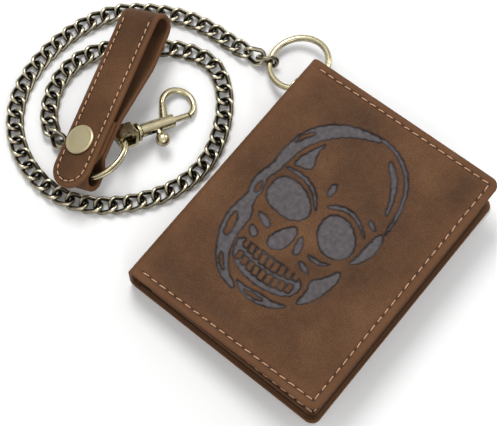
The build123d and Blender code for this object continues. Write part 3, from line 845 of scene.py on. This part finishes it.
def front_seams():
    """Seams of the front cover, as (distance from the fold, y): top, free edge and lower edge."""
    right = FRONT_LENGTH - STITCH_INSET
    top = HALF_HEIGHT - STITCH_INSET
    return line_spots(STITCH_PITCH, (SEAM_START, top), (right, top), (right, -top), (SEAM_START, -top))


def groove(x, y, right):
    """Shallow channel that a seam pulls into the leather along three edges."""
    top = HALF_HEIGHT - STITCH_INSET
    inner = np.maximum(abs(y) - top, x - right)
    return bell(inner, GROOVE_WIDTH)


def front_cover():
    """Leather of the front half: it leaves the spine, bends over the fold and carries the pressed skull."""
    lift = radians(FRONT_LIFT)
    end = FOLD + FRONT_LENGTH * np.array([cos(lift), sin(lift)])
    side = rounded_line([(FOLD[0], SEAM_Z), FOLD, end], [FRONT_BEND])
    length = side[1][-1]
    turned = length - FRONT_LENGTH  # distance along the sheet where the fold's corner would be
    seams = front_seams()
    right = FRONT_LENGTH - STITCH_INSET

    def relief(s, c, d):
        x = s - turned
        press, outline = skull_relief(x + FOLD[0], c)
        channel = groove(x, c, right) * (x > 2)
        holes = seam_holes(x, c, seams, STITCH_LENGTH)
        depth = waves(s, c) * faded(d) * np.clip(x / 8, 0, 1) - PRESS_DEPTH * press - OUTLINE_DEPTH * outline
        depth -= GROOVE_DEPTH * channel * faded(d, 2.0) + HOLE_DEPTH * holes
        rub = 0.55 * bell(d, 5.5) + 0.35 * bell(x - 1.0, 4.5)
        # the outlines and the groove darkened, and painted shade in the stitch holes
        dark_lines_and_hole_shade = np.clip(outline * 0.95 + 0.9 * holes + 0.12 * channel, 0, 1)
        return depth, {"press": press * 0.93, "dark_lines_and_hole_shade": dark_lines_and_hole_shade, "edge": np.clip(rub, 0, 0.6)}

    at = samples(length, FINE_STEP, fine_start=False)
    across = samples(2 * HALF_HEIGHT, FINE_STEP) / (2 * HALF_HEIGHT)
    made = strip(
        "front_cover_leather", ROW_FRAME, side, at, across, cover_limits(length, True),
        cover_distance(length, True), LEATHER / 2, BROWN, relief, caps=(True, False),
    )
    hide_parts("cover_front")
    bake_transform(made)


def front_stitches():
    """Thread round three edges of the front cover."""
    spots = seam_spots(front_seams(), front_frame(), LEATHER / 2)
    stitch_run("front_stitches", spots, STITCH_LENGTH, STITCH_WIDTH, "wallet_front", "thread_front")


def back_cover():
    """Leather of the back half and the spine, in one sheet bent up at the spine."""
    corner = (FOLD[0], LEATHER / 2)
    side = rounded_line([(FREE_EDGE, LEATHER / 2), corner, (FOLD[0], SEAM_Z)], [BACK_BEND])
    length = side[1][-1]
    at = samples(length, 1.2, fine_end=False)
    across = samples(2 * HALF_HEIGHT, 1.2) / (2 * HALF_HEIGHT)

    def relief(s, c, d):
        x = FREE_EDGE - s
        channel = groove(x + FREE_EDGE, c, 2 * FREE_EDGE - STITCH_INSET)
        return -BACK_GROOVE_DEPTH * channel * faded(d, 2.0), {"dark_lines_and_hole_shade": 0.5 * channel}

    made = strip(
        "back_cover_leather", ROW_FRAME, side, at, across, cover_limits(length, False),
        cover_distance(length, False), LEATHER / 2, BROWN, relief, caps=(False, True),
    )
    cut_hole(made, eyelet_cutter())
    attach(made, "wallet_back")
    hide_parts("cover_back", "cover_spine")


def eyelet_cutter():
    """Rod through the spine where the eyelet goes."""
    points, faces = lathe([(EYELET_HOLE, -6), (EYELET_HOLE, 6)], 48)
    x, y, z = np.eye(3)
    return mesh_object("cutter", placed(points, (EYELET, y, z, x)), faces, BROWN)


def cut_hole(piece, cutter):
    """Cuts the cutter's shape out of the piece and removes the cutter."""
    recalculate(cutter)
    cut = piece.modifiers.new("hole", "BOOLEAN")
    cut.object = cutter
    cut.solver = "EXACT"
    bpy.context.view_layer.update()
    evaluated = piece.evaluated_get(bpy.context.evaluated_depsgraph_get())
    mesh = bpy.data.meshes.new_from_object(evaluated)
    piece.modifiers.clear()
    piece.data = mesh
    bpy.data.objects.remove(cutter)


def panel(name, node, where, body, material, radius=2.0, window=None):
    """An inner sheet of thin leather, as large as its CAD sheet, with burnished edges."""
    low, high = local_box(node, where)
    length, height, thickness = high - low
    _, middle, level = (low + high) / 2
    side = (np.array([(low[0], level), (high[0], level)]), np.array([0, length]))

    def limits(at):
        cut = corner_cut(length - at, radius)
        return middle - height / 2 + cut, middle + height / 2 - cut

    def distance(s, c):
        return np.minimum(np.minimum(s, length - s), height / 2 - abs(c - middle))

    at = samples(length, 2.0)
    across = samples(height, 2.0) / height
    made = strip(name, where, side, at, across, limits, distance, thickness / 2, material)
    if window:
        w_low, w_high = local_box(window, where)
        cut_hole(made, box_cutter(w_low - (0, 0, 2), w_high + (0, 0, 2), where))
    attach(made, body)
    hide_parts(node)


def box_cutter(low, high, where):
    """Box between two corners in a local frame."""
    corners = list(product(*zip(low, high)))
    faces = [(0, 1, 3, 2), (4, 6, 7, 5), (0, 4, 5, 1), (2, 3, 7, 6), (0, 2, 6, 4), (1, 5, 7, 3)]
    return mesh_object("cutter", placed(corners, where), faces, BROWN)


def inner_panels():
    """Linings, note panels, card pockets and the clear window with its frame."""
    back = {"lining_back": 4.0, "note_panel_back": 2.0}
    back.update({f"card_pocket_back_{i}": 2.0 for i in (1, 2, 3)})
    for node, radius in back.items():
        panel(node + "_leather", node, ROW_FRAME, "wallet_back", SHADED_INNER_BROWN, radius)
    front = front_frame()
    for node in ("lining_front", "note_panel_front"):
        panel(node + "_leather", node, front, "wallet_front", SHADED_INNER_BROWN)
    panel(
        "window_frame_leather", "id_window_frame", front, "wallet_front", SHADED_INNER_BROWN,
        window="id_window",
    )
    panel("window_sheet", "id_window", front, "wallet_front", PLASTIC)


def pocket_stitches():
    """Seam seen inside the wallet, along the lower and free edges of the top card pocket."""
    low, high = local_box("thread_back", ROW_FRAME)
    right = high[0] - POCKET_STITCH_INSET
    bottom = low[1] + POCKET_STITCH_INSET
    seam = line_spots(STITCH_PITCH, (low[0], bottom), (right, bottom), (right, high[1]))
    spots = seam_spots(seam, ROW_FRAME, low[2])
    stitch_run("pocket_stitches", spots, STITCH_LENGTH, POCKET_STITCH_WIDTH, "wallet_back", "thread_back")


# ---- strap


def strap_side_frame():
    """The strap's frame turned so that its side view is x and z: x up the strap, z out of its front."""
    origin, x, y, z = strap_frame()
    return origin, y, -x, z


def strap_bend():
    """Bodies and places between which the strap's leather bends when the snap is undone."""
    reaches = (STRAP_BEND_REACH, -STRAP_BEND_REACH)
    ends = placed([(STRAP_BEND_Y + reach, 0, STRAP_THICKNESS) for reach in reaches], strap_side_frame())
    return "strap_base", "strap_flap", tuple(ends[0] * MM), tuple(ends[1] * MM)


def strap_front_seams():
    """Seam round the front layer as (distance up the strap, distance across it)."""
    edge = STRAP_WIDTH / 2 - STRAP_STITCH_INSET
    centre = STRAP_TIP + STRAP_WIDTH / 2
    spots = line_spots(STRAP_STITCH_PITCH, (STRAP_FLAT_END, edge), (centre, edge))
    count = round(pi * edge / STRAP_STITCH_PITCH)
    for i in range(count):
        a = pi / 2 + (i + 0.5) * pi / count
        spots.append((np.array([centre + edge * cos(a), edge * sin(a)]), np.array([-sin(a), cos(a)])))
    return spots + line_spots(STRAP_STITCH_PITCH, (centre, -edge), (STRAP_FLAT_END, -edge))


def strap_front():
    """Front layer of the strap: round lower end, a seam all round with painted shade in its holes, paled
    along its edges by use.
    """
    half_width = STRAP_WIDTH / 2
    centre = STRAP_TIP + half_width
    z = STRAP_THICKNESS / 2
    side = rounded_line([(STRAP_TIP, z), (STRAP_CREST[0], z), STRAP_CREST], [STRAP_LOOP_RADIUS])
    length = side[1][-1]
    seams = strap_front_seams()

    def limits(at):
        short = np.clip(half_width - at, 0, half_width)
        wide = np.sqrt(np.maximum(half_width**2 - short**2, 1e-6))
        return -wide, wide

    def distance(s, c):
        y = s + STRAP_TIP
        return half_width - np.where(y < centre, np.hypot(c, y - centre), abs(c))

    def relief(s, c, d):
        y = s + STRAP_TIP
        channel = bell(distance(s, c) - STRAP_STITCH_INSET, STRAP_GROOVE_WIDTH) * (y < STRAP_FLAT_END + 1.5)
        holes = seam_holes(y, c, seams, STRAP_STITCH_LENGTH)
        depth = 0.6 * waves(s * 1.7, c * 1.7 + 9) * faded(d, 3.0) * faded(length - s)
        depth -= GROOVE_DEPTH * channel + STRAP_HOLE_DEPTH * holes
        # painted shade in the stitch holes, and the groove darkened
        return depth, {"dark_lines_and_hole_shade": np.clip(0.9 * holes + 0.12 * channel, 0, 1), "edge": 0.5 * bell(d, 1.6)}

    at = samples(length, 0.42)
    across = samples(STRAP_WIDTH, 0.42) / STRAP_WIDTH
    made = strip(
        "strap_front_leather", strap_side_frame(), side, at, across, limits, distance, z, BROWN, relief,
        caps=(False, True),
    )
    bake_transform(made)
    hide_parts("strap_front")
    spots = seam_spots(seams, strap_side_frame(), STRAP_THICKNESS)
    stitch_run("strap_stitches", spots, STRAP_STITCH_LENGTH, STITCH_WIDTH, strap_bend(), "strap_thread")


def strap_back():
    """Back layer: from the crest of the belt loop, down the back and round the split ring."""
    fold_tip = TAB_FOLD_END - TAB_FOLD_RADIUS
    corners = [
        STRAP_CREST, (STRAP_CREST[0], STRAP_LOOP_Z), (LOOP_START, STRAP_LOOP_Z), (BACK_END, BACK_Z),
        (BACK_START, BACK_Z), (TAB_FOLD_START, TAB_FOLD_Z), (fold_tip, TAB_FOLD_Z), (fold_tip, TAB_Z),
        (TAB_END, TAB_Z),
    ]
    radii = [STRAP_LOOP_RADIUS, LOOP_BEND, LOOP_BEND, TAB_BEND, TAB_BEND, TAB_FOLD_RADIUS, TAB_FOLD_RADIUS]
    side = rounded_line(corners, radii)
    length = side[1][-1]

    def half_width(at):
        y = resampled(*side, at)[0][:, 0]
        share = np.clip((y - TONGUE_END) / (TONGUE_START - TONGUE_END), 0, 1)
        return (TONGUE_WIDTH + share * (STRAP_WIDTH - TONGUE_WIDTH)) / 2

    def limits(at):
        wide = half_width(at)
        return -wide, wide

    def distance(s, c):
        wide = half_width(s[:, 0])[:, None]
        return np.minimum(length - s, wide - abs(c))

    def relief(s, c, d):
        return 0.5 * waves(s * 1.5, c * 1.9) * faded(d, 3.0) * faded(s), {"edge": 0.5 * bell(d, 1.6)}

    at = samples(length, 0.6)
    across = samples(STRAP_WIDTH, 0.8) / STRAP_WIDTH
    made = strip(
        "strap_back_leather", strap_side_frame(), side, at, across, limits, distance,
        STRAP_THICKNESS / 2, BROWN, relief, caps=(True, False),
    )
    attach(made, "strap_base")
    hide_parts("strap_back")


def snap_cap():
    """Cap of the snap: a flat satin disc with a narrow rolled rim."""
    profile = [
        (0.6, 0.0), (6.1, 0.0), (6.4, 0.25), (6.5, 0.6), (6.42, 0.95), (6.2, 1.22), (5.85, 1.36),
        (5.55, 1.38), (5.35, 1.33), (5.0, 1.35), (3.0, 1.44), (0.6, 1.48),
    ]
    points, faces = lathe(profile)
    origin, x, y, z = strap_frame()
    middle = origin + SNAP_X * x + SNAP_Y * y + (STRAP_THICKNESS + 0.05) * z
    made = mesh_object("snap_cap_disc", placed(points, (middle, x, y, z)), faces, CAP_BRASS)
    recalculate(made)
    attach(made, "strap_flap")
    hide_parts("snap_cap")


# ---- metal


def split_ring():
    """Split key ring: one wire wound twice, stepping from the lower turn to the upper one."""
    count = 288
    angle = np.linspace(0.0, 4 * pi - radians(SPLIT_GAP), count)
    share = np.clip((angle - 1.88 * pi) / (0.24 * pi), 0, 1)
    height = SPLIT_SPACING * (share * share * (3 - 2 * share) - 0.5)
    turned = angle + radians(SPLIT_START)
    points = np.stack([SPLIT_RADIUS * np.cos(turned), SPLIT_RADIUS * np.sin(turned), height], axis=1)
    out = points * (1, 1, 0) / SPLIT_RADIUS
    ends = np.minimum(np.arange(count), np.arange(count)[::-1])
    taper = np.clip(0.6 + ends / 6, 0, 1)
    radii = np.stack([taper * SPLIT_WIRE / 2, taper * (SPLIT_SPACING / 2 - 0.01)], axis=1)
    ring, faces = tube(points, radii, sides=16, out=out)
    made = mesh_object("split_ring_wire", placed(ring, split_ring_frame()), faces, BRASS)
    recalculate(made)
    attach(made, "split_ring")
    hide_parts("split_ring")


def link_mesh():
    """Points, faces and painted highlight of one curb link, its ends turned out of the flat."""
    half = LINK_LENGTH / 2
    rise = LINK_HALF_WIDTH * tan(radians(LINK_TWIST))
    signs = ((1, 1, -1), (-1, 1, 1), (-1, -1, -1), (1, -1, 1))
    corners = np.array(signs) * (half, LINK_HALF_WIDTH, rise)
    arcs = [corner_arc(corners[i - 1], corners[i], corners[(i + 1) % 4], LINK_CORNER, 8) for i in range(4)]
    points = []
    for arc, following in zip(arcs, arcs[1:] + arcs[:1]):
        gap = following[0] - arc[-1]
        points += [*arc, *(arc[-1] + gap * share for share in (0.25, 0.5, 0.75))]
    points = np.array(points)
    sides = 14
    ring, faces = tube(points, LINK_WIRE / 2, sides, points, closed=True)
    outward = (ring - np.repeat(points, sides, axis=0)) / (LINK_WIRE / 2)
    radial = np.repeat(points / np.linalg.norm(points, axis=1)[:, None], sides, axis=0)
    # painted highlight: pale where the wire faces out of the link's two flat sides and away from its middle
    facing = np.abs(outward[:, 2]) * 0.75 + np.clip((outward * radial).sum(1), -1, 1) * 0.45
    crest_highlight = np.clip((facing - 0.56) / 0.44, 0, 1)
    return ring, faces, crest_highlight


def link_frames(node):
    """Centre and directions of every link of a CAD chain section, from the moments of its surface."""
    mesh = frame["nodes"][node].data
    mesh.calc_loop_triangles()
    co = node_points(node)
    tris = np.empty(len(mesh.loop_triangles) * 3, int)
    mesh.loop_triangles.foreach_get("vertices", tris)
    _, same = np.unique(np.round(co, 3), axis=0, return_inverse=True)
    tris = tris.reshape(-1, 3)
    welded = same.reshape(-1)[tris]
    label = np.arange(welded.max() + 1)
    while True:  # the lowest label of each link spreads over its triangles
        lowest = label[welded].min(1)
        previous = label.copy()
        for k in range(3):
            np.minimum.at(label, welded[:, k], lowest)
        label = label[label]
        if (label == previous).all():
            break
    found = []
    owner = label[welded[:, 0]]
    for link in np.unique(owner):
        corners = co[tris[owner == link]]
        area = np.linalg.norm(np.cross(corners[:, 1] - corners[:, 0], corners[:, 2] - corners[:, 0]), axis=1)
        middle = corners.mean(1)
        centre = (middle * area[:, None]).sum(0) / area.sum()
        rel = middle - centre
        spread = (rel * area[:, None]).T @ rel
        axes = np.linalg.eigh(spread)[1]
        x, y = axes[:, 2], axes[:, 1]
        found.append((centre, x, y, np.cross(x, y)))
    return found


def chain():
    """Curb links in place of the CAD ones, section by section."""
    points, faces, crest_highlight = link_mesh()
    sections = sorted(node for node in frame["nodes"] if node.startswith("chain_"))
    for node in sections:
        places = link_frames(node)
        all_points, all_faces = joined([(placed(points, where), faces) for where in places])
        # painted highlight on the crests of every link
        values = {"crest_highlight": np.tile(crest_highlight, len(places))}
        made = mesh_object(node.replace("chain", "chain_links"), all_points, all_faces, LINK_BRASS, values)
        recalculate(made)
        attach(made, node)
        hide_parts(node)


def bolt_spring():
    """Coil behind the bolt, inside the barrel. The real spring closes up as the bolt is drawn back; this coil
    moves with the hook and keeps its length.
    """
    rest = node_points("bolt_spring")
    centre = rest.mean(axis=0)
    along = unit(next(joint["axis"] for joint in frame["joints"] if joint["name"] == "bolt_slide"))
    side = unit(np.cross(along, (0, 0, 1)))
    up = np.cross(side, along)
    reach = np.abs((rest - centre) @ along).max() - SPRING_WIRE / 2
    share = np.linspace(0, 1, SPRING_TURNS * 24 + 1)[:, None]
    angle = share * 2 * pi * SPRING_TURNS
    out = np.cos(angle) * side + np.sin(angle) * up
    path = centre + along * (2 * share - 1) * reach + out * SPRING_RADIUS
    points, faces = tube(path, SPRING_WIRE / 2, sides=10, out=out)
    made = mesh_object("bolt_spring_coil", points, faces, STEEL)
    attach(made, "hook")
    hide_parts("bolt_spring")
    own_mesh(made)


def finish_cad_metal():
    """Gives the CAD pieces that stay in view their metal."""
    nodes = (
        "eyelet", "eyelet_washer", "wallet_ring", "snap_stud", "swivel_eye", "swivel_pin", "hook_body",
        "hook_bolt", "thumb_knob",
    )
    for node in nodes:
        materials = frame["nodes"][node].data.materials
        materials.clear()
        materials.append(BRASS)


# ---- stage

# the camera's place in metres and its angles in degrees
CAMERA_TARGET = Vector((-29.0, -6.3, 0.0)) * MM
CAMERA_DISTANCE = 0.7
CAMERA_AZIMUTH = 39.0
CAMERA_ELEVATION = 70.5
CAMERA_LENS = 123.1


def stage():
    """Pale floor, five metres square."""
    corners = [(x * 2500, y * 2500, 0) for x, y in ((-1, -1), (1, -1), (1, 1), (-1, 1))]
    mesh_object("floor", corners, [(0, 1, 2, 3)], floor_material())


def area_light(name, place, size, power):
    """Round light in metres and watts, turned to the camera's target."""
    light = bpy.data.lights.new(name, "AREA")
    light.shape = "DISK"
    light.size = size
    light.energy = power
    made = bpy.data.objects.new(name, light)
    made.location = place
    made.rotation_euler = (CAMERA_TARGET - Vector(place)).to_track_quat("-Z", "Y").to_euler()
    bpy.context.scene.collection.objects.link(made)


def lights():
    """Soft key, fill and back light, and a world that pales upward."""
    area_light("key", (-0.35, 0.25, 0.75), 0.35, 3.6)
    area_light("fill", (0.7, -0.5, 0.6), 0.5, 1.3)
    area_light("back", (0.2, 0.8, 0.5), 0.3, 1.4)
    s = Shader("studio", bpy.data.worlds, "Background")
    place = s.node("ShaderNodeTexCoord").outputs["Generated"]
    s.set(Color=s.ramp(s.height(place), (0.0, (0.22, 0.22, 0.23)), (0.75, (1, 1, 1))), Strength=0.8)
    bpy.context.scene.world = s.made
    bpy.context.scene.view_settings.view_transform = "Standard"


def camera():
    """Camera at the photograph's viewing angle."""
    azimuth, elevation = radians(CAMERA_AZIMUTH), radians(CAMERA_ELEVATION)
    back = Vector((sin(azimuth) * cos(elevation), -cos(azimuth) * cos(elevation), sin(elevation)))
    data = bpy.data.cameras.new("camera")
    data.lens = CAMERA_LENS
    data.sensor_width = 36.0
    made = bpy.data.objects.new("camera", data)
    made.location = CAMERA_TARGET + back * CAMERA_DISTANCE
    made.rotation_euler = (-back).to_track_quat("-Z", "Y").to_euler()
    bpy.context.scene.collection.objects.link(made)
    bpy.context.scene.camera = made


stage()
lights()
camera()
front_cover()
front_stitches()
back_cover()
inner_panels()
pocket_stitches()
strap_front()
strap_back()
snap_cap()
split_ring()
chain()
bolt_spring()
finish_cad_metal()

bpy.context.view_layer.update()
